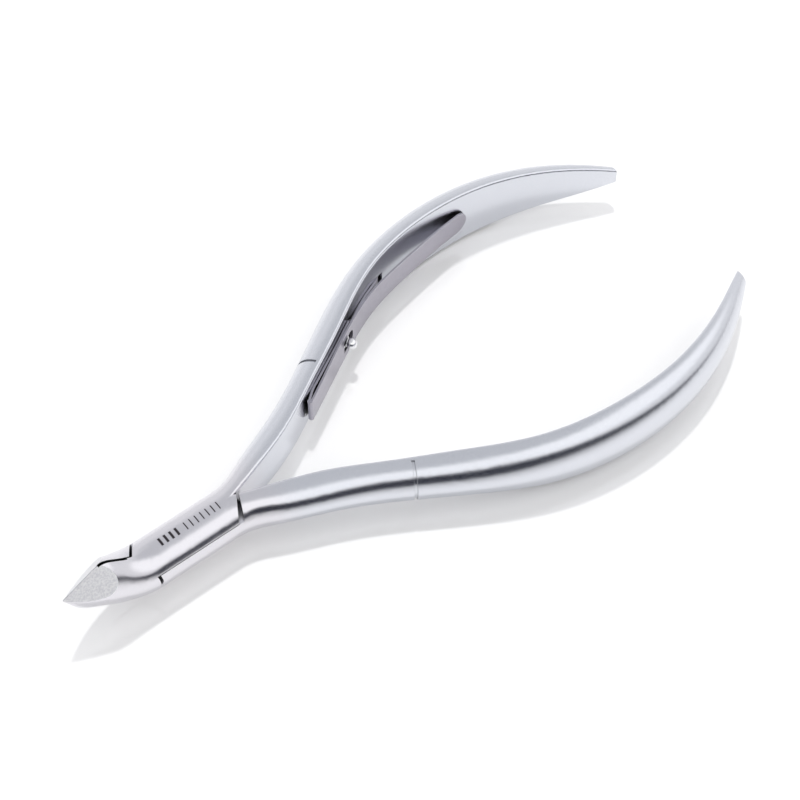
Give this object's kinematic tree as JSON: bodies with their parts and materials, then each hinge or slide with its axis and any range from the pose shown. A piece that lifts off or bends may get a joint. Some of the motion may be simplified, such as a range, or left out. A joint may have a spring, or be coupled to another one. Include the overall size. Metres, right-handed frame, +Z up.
{
  "type": "cuticle nipper",
  "caption": "Lap-jointed cuticle nipper with bowed handles, ground pointed jaws and a leaf return spring latched on a stud.",
  "frame": {"origin": "pivot axis of the lap joint, in the ground flat on the joint's underside", "axes": "+X from the pivot to the handle ends, +Y to the handle that carries the spring, +Z up along the pivot axis"},
  "size_m": [0.1079, 0.0516, 0.0119],
  "materials": {
    "satin_steel": "fine blasted satin",
    "rivet_steel": "ground flush",
    "spring_steel": "smooth rolled strip",
    "polished_steel": "polished"
  },
  "bodies": {
    "upper": {"upper_lever": "satin_steel", "pivot_rivet": "rivet_steel", "spring_root": "spring_steel", "latch_stud": "polished_steel"},
    "lower": {"lower_lever": "satin_steel"},
    "leaf": {"spring_leaf": "spring_steel"}
  },
  "joints": [
    {"name": "lever_pivot", "type": "hinge", "parent": "upper", "child": "lower", "pos_m": [0, 0, 0.00305], "axis": [0, 0, -1], "range_deg": [0, 18]},
    {"name": "leaf_swing", "type": "hinge", "parent": "upper", "child": "leaf", "pos_m": [0.02556, 0.00682, 0.00305], "axis": [0, 0, -1], "range_deg": [0, 60]}
  ]
}
